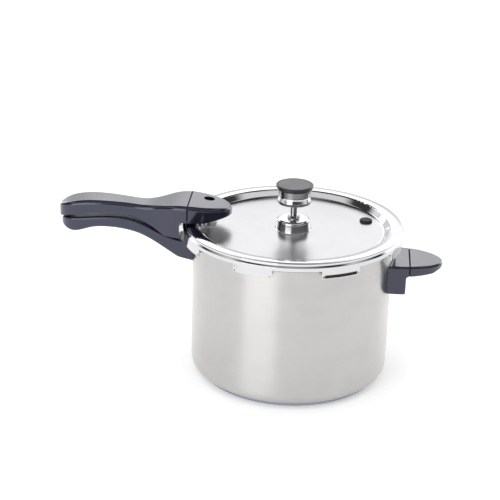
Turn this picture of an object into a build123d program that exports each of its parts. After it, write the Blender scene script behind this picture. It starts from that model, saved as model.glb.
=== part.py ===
"""Stovetop pressure canner: vessel, lug-lock cover, long handles, helper handle and regulator.

Millimetres.  The origin is the centre of the base's underside and +Z is up.  +X points to the
helper handle, so both long handles point along -X.  The cover is shut and locked.
"""

import os
from math import asin, cos, degrees, radians, sin, sqrt

from build123d import *

os.makedirs("parts", exist_ok=True)

# ---- vessel -------------------------------------------------------------------------------
POT_RADIUS = 109.0          # outside of the wall
POT_SHEET = 1.0
POT_CORNER = 12.0           # outside radius between wall and bottom
RIM_HEIGHT = 162.9          # top of the curled rim
CURL_WIDTH = 4.5            # how far the curl stands out from the wall
CURL_DROP = 4.5             # height of the curl
CURL_BEND = 0.9
CAP_INSET = 10.0            # base cap, inside the wall
CAP_SHEET = 0.6
CAP_CORNER = 2.0
CORE_THICKNESS = 3.6

# ---- lug lock -----------------------------------------------------------------------------
LUG_COUNT = 8
LUG_PHASE = -62.5           # degrees, centre of one lug
LUG_WIDTH = 20.5            # degrees
LUG_SHEET = 1.2
LUG_REACH = 4.4             # from the curl outwards
LEDGE_CLEARANCE = 0.5       # cover ledge to curl, and ledge to lug above it
SKIRT_CLEARANCE = 0.7       # cover skirt to lug tip
SLOT_WIDTH = 17.5           # degrees, slot in one cover lug

# ---- cover --------------------------------------------------------------------------------
COVER_SHEET = 1.4
SEAL_HEIGHT = 8.1
SEAL_CLEARANCE = 0.3
SEAL_INSET = 2.4            # ring's inside, out from the crown's step
SEAL_CORNER = 1.2           # round at the ring's upper outer edge
SEAL_LIP_ROUND = 0.6
SEAL_GROOVE = 3.6
SEAL_GROOVE_DEPTH = 6.0
SKIRT_GAP = 1.5             # skirt edge above the rim, between the lugs
LUG_DROP = 4.0              # cover lug below its ledge
CROWN_WIDTH = 15.5          # crown, from the skirt inwards to the top of the step
STEP_RUN = 5.0              # sloping step between crown and panel
PANEL_DEPTH = 7.5           # panel below the crown
BOSS_HEIGHT = 12.0
BOSS_TOP_RADIUS = 17.8
BOSS_FOOT_RADIUS = 19.3
SHELF_RUN = 1.8             # sloping shelf under the crown's edge, out to the skirt
SHELF_FALL = 1.5
SHELF_LIFT = 3.9            # shelf's lower edge above the skirt's edge
SHELF_ROUND = 0.3
CROWN_EDGE_ROUND = 0.6
CROWN_FALL = 0.7            # crown lower at both edges than in its middle
CROWN_ROUND = 30.0
STEP_ROUND = 2.5
STEP_OFFSET = 1.25          # sideways shift of the step's underside, in sheets
BOSS_ROUND = 3.0
BOSS_FOOT_ROUND = 1.0
SLOT_SHARE = 0.85           # slot height in the lug's drop
RELIEF_RADIUS = 1.1
RELIEF_INSET = 0.9          # degrees, relief hole from the lug's end

# ---- fittings on the cover ----------------------------------------------------------------
STEM_RADIUS = 3.75          # vent pipe above its flange
STEM_HEIGHT = 25.3          # pipe tip above the boss
SHANK_RADIUS = 4.0          # vent pipe through the boss
HEX_FLATS = 11.0
HEX_HEIGHT = 3.0
WASHER_THICKNESS = 0.8
NUT_FLATS = 13.0
NUT_HEIGHT = 4.5
VENT_BORE = 1.2
WASHER_RADIUS = 6.8
SHANK_SHOW = 1.0            # thread below the nut
TIP_LAND = 0.4              # flat ring round the vent at the pipe's tip
PLUG_TAIL = 4.0
PLUG_TAIL_TAPER = 0.8
PLUG_CROWN = 2.6
PLUG_CROWN_ROUND = 1.5
PLUG_TAIL_ROUND = 0.6
PLUG_RADIUS = 7.0
PLUG_HOLE_RADIUS = 5.2
PLUG_INSET = 19.6           # plug axis, inside the panel's edge circle of the step top
PLUG_ANGLE = 22.0           # degrees from +X
FIT_CLEARANCE = 0.05        # parts that locate in a hole of the same body, and running fits

# ---- regulator ----------------------------------------------------------------------------
WEIGHT_RADIUS = 18.0
WAIST_RADIUS = 16.6
WEIGHT_HEIGHT = 15.5
WEIGHT_ROUND = 0.6
WEIGHT_FLANGE = 3.0
WAIST_ROUND = 6.0
CAP_WALL = 3.0
CAP_SPIGOT = 3.0
CAP_FLARE = 0.4
CAP_RIM = 3.2               # overhanging rim at the cap's top
CAP_UNDERCUT = 0.6
CAP_RADIUS = 20.2
CAP_HEIGHT = 5.0
DISC_RADIUS = 17.6
DISC_SHEET = 0.8
SEAT_CLEARANCE = 0.3        # regulator bore round the pipe
SOCKET_DEPTH = 7.1          # pipe length inside the weight

# ---- cover lock ---------------------------------------------------------------------------
PIN_RADIUS = 2.0
PIN_INSET = 14.8            # pin axis, inside the vessel's wall face
PIN_ANGLE = 174.5           # degrees from +X
PIN_TRAVEL = 5.5
PIN_HEAD_RADIUS = 4.6
PIN_HEAD_HEIGHT = 2.5
PIN_HEAD_DEPTH = 3.0        # raised pin head below the handle's crest
PIN_PASSAGE = 0.6           # bore through the handle, round the pin
BUSH_RADIUS = 4.0
BUSH_FLANGE_RADIUS = 5.0
BUSH_FLANGE = 1.4
CUP_RADIUS = 4.5
CUP_HEIGHT = 5.0
CUP_FLOOR = 1.0
KEYHOLE_CLEARANCE = 0.8
SHELF_SHEET = 1.2
SHELF_CLEARANCE = 0.5       # shelf above the lowered cup
SHELF_WIDTH = 7.0           # degrees, each side of the pin
SHELF_BORDER = 3.0          # metal inside the keyhole
LEAF_DROP = 11.0

# ---- handles ------------------------------------------------------------------------------
HEAD_HALF_WIDTH = 27.8
GRIP_HALF_WIDTH = 16.5
NECK_HALF_WIDTH = 14.0
HANDLE_REACH = 136.0        # grip end beyond the cover's skirt
HANDLE_RISE = 20.2          # head crest above the crown
HEAD_NOSE = 53.0            # nose inside the skirt
HEAD_CLEARANCE = 2.0        # handle over the crown
RIM_CLEARANCE = 1.5         # handle beside the skirt
INDICATOR_RADIUS = 6.0
BODY_HALF_WIDTH = 15.0
BODY_ROUND = 2.5
BODY_WAIST = 1.5            # lower handle's neck, narrower on each side
BODY_END = 0.985            # lower handle's reach, as a share of the upper's
BODY_ROOT_DROP = 36.3       # handle's foot on the wall, below the rim
BODY_ROOT_RISE = 20.5       # handle's upper corner on the wall, below the rim
TONGUE_DROP = 26.0          # bracket tongue below the rim
TONGUE_LENGTH = 22.0
TONGUE_SCREW = 13.0
SCREW_GRIP = 4.6            # handle material between screw head and tongue
PLATE_MARGIN = 1.0
TONGUE_HALF_WIDTH = 6.0
SCREW_SHOW = 1.0            # screw tip past its nut plate
DRIVE_SHARE = 0.62          # cross recess across the screw's head
DRIVE_SLOT = 0.9
HEAD_GROOVE = 7.0           # groove across the head, inside the skirt
NOSE_FALL = 9.0
NOSE_LIFT = 6.0
OUTLINE_SPARE = 5.0         # side outline past the plan outline
STRAP_CLEARANCE = 0.3       # strap over the crown
STRAP_IN_LEG = 25.0
STRAP_SCREWS = (0.26, 0.74)  # screws along the strap, as shares of its length in the leg
STRAP_RISE_RUN = 4.0
STRAP_LEAN = 0.6            # sideways shift of the sloping part's upper face, in sheets
HANDLE_SEAM = 1.5           # width of the shallow groove across a handle
SEAM_DEPTH = 1.0
HEAD_BODY = 13.0            # height of the head's side wall
HEAD_ROUND = 4.0
STRAP_FOOT = 9.0            # strap on the panel, inwards from the pin
STRAP_FOOT_INSET = 6.0      # start of the strap's rise, inside the panel's edge
HEAD_WAIST = 0.4            # place in the leg where the head narrows, and its share there
HEAD_SHARE = 0.88
NECK_WIDEN = 2.0
NECK_START = 0.24           # places along the reach of a long handle
NECK_END = 0.42
GRIP_START = 0.84
HELPER_REACH = 55.0         # tip beyond the vessel's wall
HELPER_HALF_WIDTH = 30.0
HELPER_TOP = 24.4           # helper's top below the rim
HELPER_BLOCK = 15.5         # block's length
HELPER_BLOCK_DROP = 31.5
HELPER_SLAB = 11.0
HELPER_ELLIPSE = 50.0       # half length of the plan ellipse
HELPER_ROUND = 2.5
HELPER_GROOVE = 19.0        # groove across the slab, beyond the vessel's wall
BLOCK_EDGE_ROUND = 2.0
SLAB_ROOT_ROUND = 3.0
SLAB_TIP_ROUND = 8.0
SLAB_CROWN_ROUND = 60.0
SLAB_TIP_RISE = 1.5         # slab's underside and top, nearer to each other at the tip
HELPER_TONGUE_DROP = 17.0   # bracket tongue below the helper's top
HELPER_TONGUE = 12.0
BRACKET_SHEET = 1.5
STRAP_SHEET = 1.5
STRAP_HALF_WIDTH = 11.0
SCREW_RADIUS = 2.0
SCREW_HEAD_RADIUS = 3.6
SCREW_HEAD_HEIGHT = 2.4
COUNTERBORE_CLEARANCE = 0.2

# ---- cooking rack -------------------------------------------------------------------------
RACK_CLEARANCE = 4.0        # to the vessel's wall
RACK_SHEET = 1.6
RACK_HEIGHT = 14.0          # underside of the rack above the vessel's floor
RACK_RIM_DROP = 5.0
RACK_HOLE_RADIUS = 4.0
RACK_RINGS = ((0.25, 6), (0.46, 12), (0.67, 18), (0.86, 24))    # share of radius, count
FOOT_COUNT = 3
FOOT_RADIUS = 2.0
FOOT_BEND = 2.6
FOOT_CIRCLE = 0.565         # share of the rack's radius
FOOT_LENGTH = 32.0

# ---- levels and circles worked out from the values above -----------------------------------
cap_radius = POT_RADIUS - CAP_INSET
floor_underside = CAP_SHEET + CORE_THICKNESS
floor_top = floor_underside + POT_SHEET
pot_inner = POT_RADIUS - POT_SHEET
curl_radius = POT_RADIUS + CURL_WIDTH
curl_bottom = RIM_HEIGHT - CURL_DROP
lug_tip = curl_radius + LUG_REACH
skirt_inner = lug_tip + SKIRT_CLEARANCE
skirt_outer = skirt_inner + COVER_SHEET
ledge_inner = curl_radius + LEDGE_CLEARANCE
ledge_top = RIM_HEIGHT - LUG_SHEET - LEDGE_CLEARANCE
ledge_bottom = ledge_top - LUG_SHEET
cover_lug_bottom = ledge_bottom - LUG_DROP
skirt_bottom = RIM_HEIGHT + SKIRT_GAP
shelf_low = skirt_bottom + SHELF_LIFT
crown_outer = skirt_outer - SHELF_RUN
seal_bottom = RIM_HEIGHT + SEAL_CLEARANCE
seal_top = seal_bottom + SEAL_HEIGHT
crown_top = seal_top + SEAL_CLEARANCE + COVER_SHEET
crown_inner = skirt_outer - CROWN_WIDTH
panel_radius = crown_inner - STEP_RUN
panel_top = crown_top - PANEL_DEPTH
panel_underside = panel_top - COVER_SHEET
boss_top = panel_top + BOSS_HEIGHT
lug_angles = [LUG_PHASE + index * 360 / LUG_COUNT for index in range(LUG_COUNT)]


def rounded_face(*corners):
    """Face through (x, z) corners of a profile; a third value rounds that corner."""
    with BuildLine() as boundary:
        Polyline(*[corner[:2] for corner in corners], close=True)
    make_face(boundary.edges())
    for corner in corners:
        if len(corner) == 3:
            fillet(vertices().sort_by_distance(corner[:2])[0], corner[2])


def ring_sectors(inner, outer, centres, width):
    """Sketch of equal ring sectors, `width` degrees wide, at each centre angle."""
    with BuildSketch() as sectors:
        for centre in centres:
            with BuildLine():
                outer_arc = CenterArc((0, 0), outer, centre - width / 2, width)
                inner_arc = CenterArc((0, 0), inner, centre - width / 2, width)
                Line(outer_arc @ 0, inner_arc @ 0)
                Line(outer_arc @ 1, inner_arc @ 1)
            make_face()
    return sectors.sketch


def save(part, name):
    """Label a finished piece and write its STEP file."""
    part.label = name
    export_step(part, f"parts/{name}.step")


# ---- pot body -------------------------------------------------------------------------------
# One spun shell: flat floor, round corner, straight wall and a rim curled outwards and down.
with BuildPart() as pot_body:
    with BuildSketch(Plane.XZ):
        rounded_face(
            (0, floor_underside),
            (POT_RADIUS, floor_underside, POT_CORNER),
            (POT_RADIUS, RIM_HEIGHT - POT_SHEET, CURL_BEND),
            (curl_radius - POT_SHEET, RIM_HEIGHT - POT_SHEET, CURL_BEND / 2),
            (curl_radius - POT_SHEET, curl_bottom),
            (curl_radius, curl_bottom),
            (curl_radius, RIM_HEIGHT),
            (pot_inner, RIM_HEIGHT, CURL_BEND),
            (pot_inner, floor_top, POT_CORNER - POT_SHEET),
            (0, floor_top),
        )
    revolve(axis=Axis.Z)
    with BuildSketch(Plane.XY.offset(RIM_HEIGHT - LUG_SHEET)):
        add(ring_sectors(curl_radius - POT_SHEET / 2, lug_tip, lug_angles, LUG_WIDTH))
    extrude(amount=LUG_SHEET)
save(pot_body.part, "pot_body")

# ---- encapsulated base ----------------------------------------------------------------------
with BuildPart() as base_core:
    with BuildSketch(Plane.XZ):
        rounded_face(
            (0, CAP_SHEET),
            (cap_radius - CAP_SHEET, CAP_SHEET, CAP_CORNER - CAP_SHEET),
            (cap_radius - CAP_SHEET, floor_underside),
            (0, floor_underside),
        )
    revolve(axis=Axis.Z)
save(base_core.part, "base_core")

with BuildPart() as base_cap:
    with BuildSketch(Plane.XZ):
        rounded_face(
            (0, 0),
            (cap_radius, 0, CAP_CORNER),
            (cap_radius, floor_underside),
            (cap_radius - CAP_SHEET, floor_underside),
            (cap_radius - CAP_SHEET, CAP_SHEET, CAP_CORNER - CAP_SHEET),
            (0, CAP_SHEET),
        )
    revolve(axis=Axis.Z)
save(base_cap.part, "base_cap")

# ---- sealing ring ---------------------------------------------------------------------------
# Sits in the cover's channel and is open towards the steam, which spreads its two lips.
seal_inner = crown_inner + SEAL_INSET
seal_outer = skirt_inner - SEAL_CLEARANCE
seal_groove_mid = (seal_bottom + seal_top) / 2
with BuildPart() as sealing_ring:
    with BuildSketch(Plane.XZ):
        rounded_face(
            (seal_inner, seal_bottom, SEAL_LIP_ROUND),
            (seal_outer, seal_bottom, SEAL_LIP_ROUND),
            (seal_outer, shelf_low - SHELF_FALL, SEAL_LIP_ROUND),
            (seal_outer - SHELF_RUN, shelf_low, SEAL_LIP_ROUND),
            (seal_outer - SHELF_RUN, seal_top, SEAL_CORNER),
            (seal_inner, seal_top, SEAL_LIP_ROUND),
            (seal_inner, seal_groove_mid + SEAL_GROOVE / 2),
            (seal_inner + SEAL_GROOVE_DEPTH, seal_groove_mid + SEAL_GROOVE / 4),
            (seal_inner + SEAL_GROOVE_DEPTH, seal_groove_mid - SEAL_GROOVE / 4),
            (seal_inner, seal_groove_mid - SEAL_GROOVE / 2),
        )
    revolve(axis=Axis.Z)
save(sealing_ring.part, "sealing_ring")

# ---- cover ----------------------------------------------------------------------------------
# One stamping: centre boss, flat panel, sloping step, crown, coined line, skirt and lugs.
crown_edge = crown_top - CROWN_FALL
step_shift = COVER_SHEET * STEP_OFFSET
plug_circle = crown_inner - PLUG_INSET
plug_x = plug_circle * cos(radians(PLUG_ANGLE))
plug_y = plug_circle * sin(radians(PLUG_ANGLE))
pin_circle = pot_inner - PIN_INSET
pin_x = pin_circle * cos(radians(PIN_ANGLE))
pin_y = pin_circle * sin(radians(PIN_ANGLE))
slot_angle = lug_angles[0]
slot_height = LUG_DROP * SLOT_SHARE
relief_level = ledge_bottom - LUG_DROP / 2
with BuildPart() as cover:
    with BuildSketch(Plane.XZ):
        rounded_face(
            (0, boss_top),
            (BOSS_TOP_RADIUS, boss_top, BOSS_ROUND),
            (BOSS_FOOT_RADIUS, panel_top, BOSS_FOOT_ROUND),
            (panel_radius, panel_top, STEP_ROUND),
            (crown_inner, crown_edge, STEP_ROUND),
            ((crown_inner + skirt_outer) / 2, crown_top, CROWN_ROUND),
            (crown_outer, crown_edge, CROWN_EDGE_ROUND),
            (crown_outer, shelf_low + SHELF_FALL, SHELF_ROUND),
            (skirt_outer, shelf_low, SHELF_ROUND),
            (skirt_outer, skirt_bottom),
            (skirt_inner, skirt_bottom),
            (skirt_inner, shelf_low - SHELF_FALL / 2),
            (crown_outer - COVER_SHEET, shelf_low + SHELF_FALL / 2),
            (crown_outer - COVER_SHEET, crown_top - COVER_SHEET, SEAL_LIP_ROUND),
            (crown_inner + step_shift, crown_top - COVER_SHEET, STEP_ROUND / 2),
            (panel_radius + step_shift / 2, panel_underside, STEP_ROUND),
            (BOSS_FOOT_RADIUS - COVER_SHEET, panel_underside, BOSS_FOOT_ROUND),
            (BOSS_TOP_RADIUS - COVER_SHEET, boss_top - COVER_SHEET, BOSS_ROUND - COVER_SHEET),
            (0, boss_top - COVER_SHEET),
        )
    revolve(axis=Axis.Z)
    with BuildSketch(Plane.XY.offset(cover_lug_bottom)):
        add(ring_sectors(skirt_inner, skirt_outer, lug_angles, LUG_WIDTH))
    extrude(amount=skirt_bottom - cover_lug_bottom)
    with BuildSketch(Plane.XY.offset(ledge_bottom)):
        add(ring_sectors(ledge_inner, skirt_inner + COVER_SHEET / 2, lug_angles, LUG_WIDTH))
    extrude(amount=LUG_SHEET)
    with BuildSketch(Plane.XY.offset(ledge_bottom - slot_height)):
        add(ring_sectors(ledge_inner, skirt_outer + COVER_SHEET, [slot_angle], SLOT_WIDTH))
    extrude(amount=slot_height, mode=Mode.SUBTRACT)
    for end in (-1, 1):
        relief_start = LUG_PHASE + end * (LUG_WIDTH / 2 - RELIEF_INSET)
        with Locations((0, 0, relief_level)):
            with PolarLocations(skirt_outer, LUG_COUNT, start_angle=relief_start):
                Cylinder(
                    RELIEF_RADIUS, 3 * COVER_SHEET, rotation=(0, 90, 0), mode=Mode.SUBTRACT
                )
    with Locations((0, 0, boss_top)):
        Hole(SHANK_RADIUS + FIT_CLEARANCE, depth=2 * COVER_SHEET)
    with Locations((plug_x, plug_y, panel_top)):
        Hole(PLUG_HOLE_RADIUS, depth=2 * COVER_SHEET)
    with Locations((pin_x, pin_y, panel_top)):
        Hole(BUSH_RADIUS, depth=BOSS_HEIGHT)
save(cover.part, "cover")

# ---- vent pipe, washer and nut --------------------------------------------------------------
pipe_flange_bottom = boss_top + WASHER_THICKNESS
pipe_flange_top = pipe_flange_bottom + HEX_HEIGHT
pipe_tip = boss_top + STEM_HEIGHT
nut_top = boss_top - COVER_SHEET
shank_bottom = nut_top - NUT_HEIGHT - SHANK_SHOW
with BuildPart() as vent_pipe:
    with BuildSketch(Plane.XY.offset(shank_bottom)):
        Circle(SHANK_RADIUS)
    extrude(amount=pipe_flange_bottom - shank_bottom)
    with BuildSketch(Plane.XY.offset(pipe_flange_bottom)):
        RegularPolygon(HEX_FLATS / 2, 6, major_radius=False)
    extrude(amount=HEX_HEIGHT)
    with BuildSketch(Plane.XY.offset(pipe_flange_top)):
        Circle(STEM_RADIUS)
    extrude(amount=pipe_tip - pipe_flange_top)
    tip_edge = faces().sort_by(Axis.Z)[-1].edges()
    chamfer(tip_edge, STEM_RADIUS - VENT_BORE - TIP_LAND)
    with Locations((0, 0, pipe_tip)):
        Hole(VENT_BORE)
save(vent_pipe.part, "vent_pipe")

with BuildPart() as vent_pipe_washer:
    with BuildSketch(Plane.XY.offset(boss_top)):
        Circle(WASHER_RADIUS)
        Circle(SHANK_RADIUS + FIT_CLEARANCE, mode=Mode.SUBTRACT)
    extrude(amount=WASHER_THICKNESS)
save(vent_pipe_washer.part, "vent_pipe_washer")

with BuildPart() as vent_pipe_nut:
    with BuildSketch(Plane.XY.offset(nut_top - NUT_HEIGHT)):
        RegularPolygon(NUT_FLATS / 2, 6, major_radius=False)
        Circle(SHANK_RADIUS + FIT_CLEARANCE, mode=Mode.SUBTRACT)
    extrude(amount=NUT_HEIGHT)
save(vent_pipe_nut.part, "vent_pipe_nut")

# ---- overpressure plug ----------------------------------------------------------------------
with BuildPart() as overpressure_plug:
    with BuildSketch(Plane((plug_x, plug_y, 0), x_dir=(1, 0, 0), z_dir=(0, -1, 0))):
        rounded_face(
            (0, panel_underside - PLUG_TAIL),
            (PLUG_HOLE_RADIUS - PLUG_TAIL_TAPER, panel_underside - PLUG_TAIL, PLUG_TAIL_ROUND),
            (PLUG_RADIUS - PLUG_TAIL_TAPER, panel_underside),
            (PLUG_HOLE_RADIUS - FIT_CLEARANCE, panel_underside),
            (PLUG_HOLE_RADIUS - FIT_CLEARANCE, panel_top),
            (PLUG_RADIUS, panel_top),
            (PLUG_RADIUS, panel_top + PLUG_CROWN, PLUG_CROWN_ROUND),
            (0, panel_top + PLUG_CROWN),
        )
    revolve(axis=Axis((plug_x, plug_y, 0), (0, 0, 1)))
save(overpressure_plug.part, "overpressure_plug")

# ---- lock bush, pin and cup -----------------------------------------------------------------
bush_bottom = panel_underside - BUSH_FLANGE
bush_top = panel_top + BUSH_FLANGE
cup_top = bush_bottom - SEAL_CLEARANCE - PIN_TRAVEL
cup_bottom = cup_top - CUP_HEIGHT
crest = crown_top + HANDLE_RISE
pin_head_bottom = crest - PIN_HEAD_DEPTH - PIN_TRAVEL - PIN_HEAD_HEIGHT
with BuildPart() as lock_bush:
    with BuildSketch(Plane.XY.offset(bush_bottom)):
        with Locations((pin_x, pin_y)):
            Circle(BUSH_FLANGE_RADIUS)
    extrude(amount=BUSH_FLANGE)
    with BuildSketch(Plane.XY.offset(panel_underside)):
        with Locations((pin_x, pin_y)):
            Circle(BUSH_RADIUS - FIT_CLEARANCE)
    extrude(amount=COVER_SHEET)
    with BuildSketch(Plane.XY.offset(panel_top)):
        with Locations((pin_x, pin_y)):
            Circle(BUSH_FLANGE_RADIUS)
    extrude(amount=BUSH_FLANGE)
    with Locations((pin_x, pin_y, bush_top)):
        Hole(PIN_RADIUS + FIT_CLEARANCE)
save(lock_bush.part, "lock_bush")

with BuildPart() as lock_pin:
    with BuildSketch(Plane.XY.offset(cup_bottom + CUP_FLOOR)):
        with Locations((pin_x, pin_y)):
            Circle(PIN_RADIUS)
    extrude(amount=pin_head_bottom - cup_bottom - CUP_FLOOR)
    with BuildSketch(Plane.XY.offset(pin_head_bottom)):
        with Locations((pin_x, pin_y)):
            Circle(PIN_HEAD_RADIUS)
    extrude(amount=PIN_HEAD_HEIGHT)
    fillet(faces().sort_by(Axis.Z)[-1].edges(), PIN_HEAD_HEIGHT / 3)
save(lock_pin.part, "lock_pin")

with BuildPart() as lock_pin_cup:
    with BuildSketch(Plane.XY.offset(cup_bottom)):
        with Locations((pin_x, pin_y)):
            Circle(CUP_RADIUS)
    extrude(amount=CUP_HEIGHT)
    fillet(faces().sort_by(Axis.Z)[0].edges(), CUP_FLOOR / 2)
    with Locations((pin_x, pin_y, cup_top)):
        Hole(PIN_RADIUS + FIT_CLEARANCE, depth=CUP_HEIGHT - CUP_FLOOR)
save(lock_pin_cup.part, "lock_pin_cup")

# ---- locking bracket ------------------------------------------------------------------------
# A leaf welded inside the wall carries a shelf with a keyhole: the thin pin enters along the
# slot as the cover turns shut, and the cup then rises into the round end and locks it.
shelf_bottom = cup_top + SHELF_CLEARANCE
keyhole_radius = CUP_RADIUS + KEYHOLE_CLEARANCE
slot_half = PIN_RADIUS + KEYHOLE_CLEARANCE
shelf_inner = pin_circle - keyhole_radius - SHELF_BORDER
with BuildPart() as locking_bracket:
    with BuildSketch(Plane.XY.offset(shelf_bottom)):
        add(ring_sectors(shelf_inner, pot_inner, [PIN_ANGLE], 2 * SHELF_WIDTH))
        add(
            ring_sectors(
                pin_circle - slot_half, pin_circle + slot_half, [PIN_ANGLE + SHELF_WIDTH],
                2 * SHELF_WIDTH,
            ),
            mode=Mode.SUBTRACT,
        )
        with Locations((pin_x, pin_y)):
            Circle(keyhole_radius, mode=Mode.SUBTRACT)
    extrude(amount=SHELF_SHEET)
    with BuildSketch(Plane.XY.offset(shelf_bottom - LEAF_DROP)):
        add(ring_sectors(pot_inner - SHELF_SHEET, pot_inner, [PIN_ANGLE], 2 * SHELF_WIDTH))
    extrude(amount=LEAF_DROP)
save(locking_bracket.part, "locking_bracket")

# ---- regulator ------------------------------------------------------------------------------
weight_bottom = pipe_tip - SOCKET_DEPTH
weight_top = weight_bottom + WEIGHT_HEIGHT
cap_top = weight_top + CAP_HEIGHT
socket_radius = STEM_RADIUS + SEAT_CLEARANCE
with BuildPart() as regulator_weight:
    with BuildSketch(Plane.XZ):
        rounded_face(
            (0, weight_bottom),
            (WEIGHT_RADIUS, weight_bottom, WEIGHT_ROUND),
            (WEIGHT_RADIUS, weight_bottom + WEIGHT_FLANGE, WEIGHT_ROUND),
            (WAIST_RADIUS, weight_bottom + WEIGHT_HEIGHT / 2, WAIST_ROUND),
            (WEIGHT_RADIUS, weight_top),
            (WEIGHT_RADIUS - CAP_WALL, weight_top),
            (WEIGHT_RADIUS - CAP_WALL, weight_top + CAP_SPIGOT),
            (0, weight_top + CAP_SPIGOT),
        )
    revolve(axis=Axis.Z)
    with BuildSketch(Plane.XY.offset(weight_bottom)):
        Circle(socket_radius)
    extrude(amount=SOCKET_DEPTH + SEAT_CLEARANCE, mode=Mode.SUBTRACT)
save(regulator_weight.part, "regulator_weight")

with BuildPart() as regulator_cap:
    with BuildSketch(Plane.XZ):
        rounded_face(
            (0, weight_top + CAP_SPIGOT),
            (WEIGHT_RADIUS - CAP_WALL, weight_top + CAP_SPIGOT),
            (WEIGHT_RADIUS - CAP_WALL, weight_top),
            (WEIGHT_RADIUS + CAP_FLARE, weight_top, CAP_FLARE / 2),
            (WEIGHT_RADIUS + CAP_FLARE, cap_top - CAP_RIM - CAP_UNDERCUT, CAP_FLARE),
            (CAP_RADIUS, cap_top - CAP_RIM, CAP_RIM / 4),
            (CAP_RADIUS, cap_top, CAP_RIM / 3),
            (DISC_RADIUS, cap_top),
            (DISC_RADIUS, cap_top - DISC_SHEET),
            (0, cap_top - DISC_SHEET),
        )
    revolve(axis=Axis.Z)
save(regulator_cap.part, "regulator_cap")

with BuildPart() as regulator_disc:
    with BuildSketch(Plane.XY.offset(cap_top - DISC_SHEET)):
        Circle(DISC_RADIUS)
    extrude(amount=DISC_SHEET)
    fillet(faces().sort_by(Axis.Z)[-1].edges(), DISC_SHEET / 3)
save(regulator_disc.part, "regulator_disc")

# ---- long handles: outlines -----------------------------------------------------------------
# Both long handles are a side outline crossed with a plan outline.  A side point is a share of
# the reach beyond the skirt and a rise from the rim, so the outlines follow both sizes.


def beyond(share, rise):
    """Point of a long handle's side outline."""
    return (-skirt_outer - share * HANDLE_REACH, RIM_HEIGHT + rise)


def plan_outline(front, front_centre, front_half, waist, back_centre, back_half, back):
    """Closed plan outline about the X axis: two elliptical ends joined by smooth sides."""
    with BuildSketch() as outline:
        with BuildLine():
            front_arc = EllipticalCenterArc(
                (front_centre, 0), front - front_centre, front_half, arc_size=90
            )
            back_arc = EllipticalCenterArc(
                (back_centre, 0), back_centre - back, back_half, 90, arc_size=90
            )
            Spline(front_arc @ 1, *waist, back_arc @ 0, tangents=((-1, 0), (-1, 0)))
            mirror(about=Plane.XZ)
        make_face()
    return outline.sketch


def screw(x, y, seat, tip):
    """Pan-head screw that points up, with its head under the seat."""
    with BuildPart() as fastener:
        with BuildSketch(Plane.XY.offset(seat - SCREW_HEAD_HEIGHT)):
            with Locations((x, y)):
                Circle(SCREW_HEAD_RADIUS)
        extrude(amount=SCREW_HEAD_HEIGHT)
        fillet(faces().sort_by(Axis.Z)[0].edges(), SCREW_HEAD_HEIGHT / 4)
        with BuildSketch(Plane.XY.offset(seat - SCREW_HEAD_HEIGHT)):
            with Locations((x, y)):
                Rectangle(2 * SCREW_HEAD_RADIUS * DRIVE_SHARE, DRIVE_SLOT)
                Rectangle(DRIVE_SLOT, 2 * SCREW_HEAD_RADIUS * DRIVE_SHARE)
        extrude(amount=SCREW_HEAD_HEIGHT / 2, mode=Mode.SUBTRACT)
        with BuildSketch(Plane.XY.offset(seat)):
            with Locations((x, y)):
                Circle(SCREW_RADIUS)
        extrude(amount=tip - seat)
    return fastener.part


# ---- lower (body) handle --------------------------------------------------------------------
body_top = [(0.015, -12.4), (0.132, -7.9), (0.257, -0.1), (0.419, 8.1), (0.574, 9.8),
            (0.735, 8.6), (0.93, 6.4)]
body_under = [(0.95, -6.0), (0.87, -8.7), (0.743, -4.2), (0.618, -2.4), (0.5, -3.6),
              (0.338, -8.9), (0.176, -20.6), (0.05, -31.5)]
body_end = beyond(BODY_END, 1.0)
body_root_low = (-POT_RADIUS + CURL_WIDTH, RIM_HEIGHT - BODY_ROOT_DROP)
body_root_high = (-POT_RADIUS + CURL_WIDTH, RIM_HEIGHT - BODY_ROOT_RISE)
tongue_bottom = RIM_HEIGHT - TONGUE_DROP
body_screw_x = -(POT_RADIUS + TONGUE_SCREW)
body_seat = tongue_bottom - SCREW_GRIP
screw_tip_rise = BRACKET_SHEET + SCREW_SHOW
plate_outer = POT_RADIUS + BRACKET_SHEET
plate_bottom = RIM_HEIGHT - BODY_ROOT_DROP + PLATE_MARGIN
plate_top = RIM_HEIGHT - BODY_ROOT_RISE - PLATE_MARGIN
plate_width = 2 * degrees(asin((BODY_HALF_WIDTH - 3 * PLATE_MARGIN) / POT_RADIUS))
recess_width = plate_width + PLATE_MARGIN
counterbore_radius = SCREW_HEAD_RADIUS + COUNTERBORE_CLEARANCE
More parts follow.
